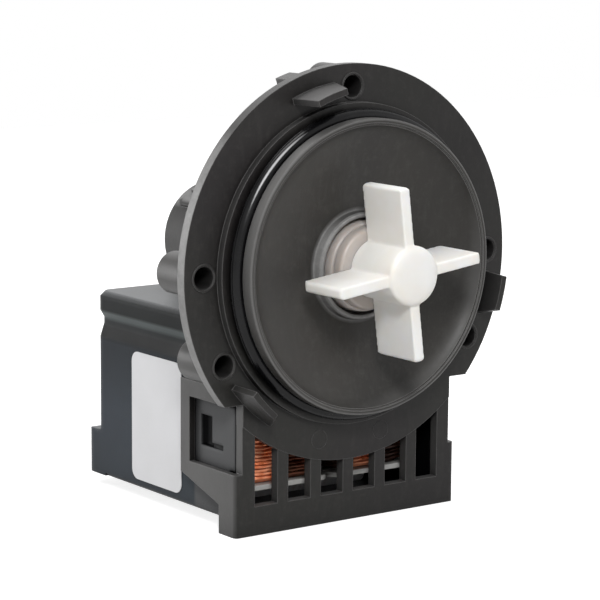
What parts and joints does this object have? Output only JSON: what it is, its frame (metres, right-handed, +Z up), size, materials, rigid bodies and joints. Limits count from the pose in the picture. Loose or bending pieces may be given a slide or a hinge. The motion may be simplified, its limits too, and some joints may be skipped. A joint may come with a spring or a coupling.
{
  "type": "washer drain pump",
  "caption": "Washing machine drain pump: open vane impeller in a shallow chamber dish, round screw flange, shaded pole motor in a closed rear cover.",
  "frame": {"origin": "centre of the mounting flange's front face, on the rotor axis", "axes": "-Y along the rotor axis toward the impeller, +Z up, +X to the right as seen from the impeller side"},
  "size_m": [0.088, 0.0883, 0.102],
  "materials": {
    "housing_plastic": "fine matt, dark warm grey",
    "dish_plastic": "fine matt, brownish dark grey",
    "cover_plastic": "satin, dark blue grey",
    "seal_rubber": "soft black rubber",
    "impeller_plastic": "satin off-white, slightly translucent",
    "coupling_plastic": "satin off-white",
    "bearing_bronze": "sintered bronze",
    "shaft_steel": "ground steel",
    "magnet_ferrite": "dark ferrite",
    "laminations": "stacked sheet steel",
    "bobbin_plastic": "light grey moulding",
    "winding_copper": "lacquered copper wire",
    "terminal_brass": "bright tinned brass",
    "label_film": "bare white film"
  },
  "bodies": {
    "housing": {"pump_housing": "housing_plastic", "chamber_dish": "dish_plastic", "flange_o_ring": "seal_rubber", "rotor_can": "dish_plastic", "front_bearing": "bearing_bronze", "rear_bearing": "bearing_bronze", "stator_yoke": "laminations", "left_pole": "laminations", "right_pole": "laminations", "left_bobbin": "bobbin_plastic", "right_bobbin": "bobbin_plastic", "left_winding_core": "winding_copper", "right_winding_core": "winding_copper", "left_winding": "winding_copper", "right_winding": "winding_copper", "rear_cover": "cover_plastic", "left_terminal": "terminal_brass", "right_terminal": "terminal_brass", "rating_label": "label_film"},
    "rotor": {"rotor_shaft": "shaft_steel", "rotor_magnet": "magnet_ferrite", "drive_dog": "coupling_plastic"},
    "impeller": {"impeller": "impeller_plastic", "impeller_foot": "impeller_plastic", "stop_pads": "seal_rubber"}
  },
  "joints": [
    {"name": "rotor_spin", "type": "hinge", "parent": "housing", "child": "rotor", "pos_m": [0, 0, 0], "axis": [0, -1, 0], "continuous": true},
    {"name": "impeller_free_turn", "type": "hinge", "parent": "rotor", "child": "impeller", "pos_m": [0, 0, 0], "axis": [0, -1, 0], "range_deg": [-82, 82]}
  ]
}
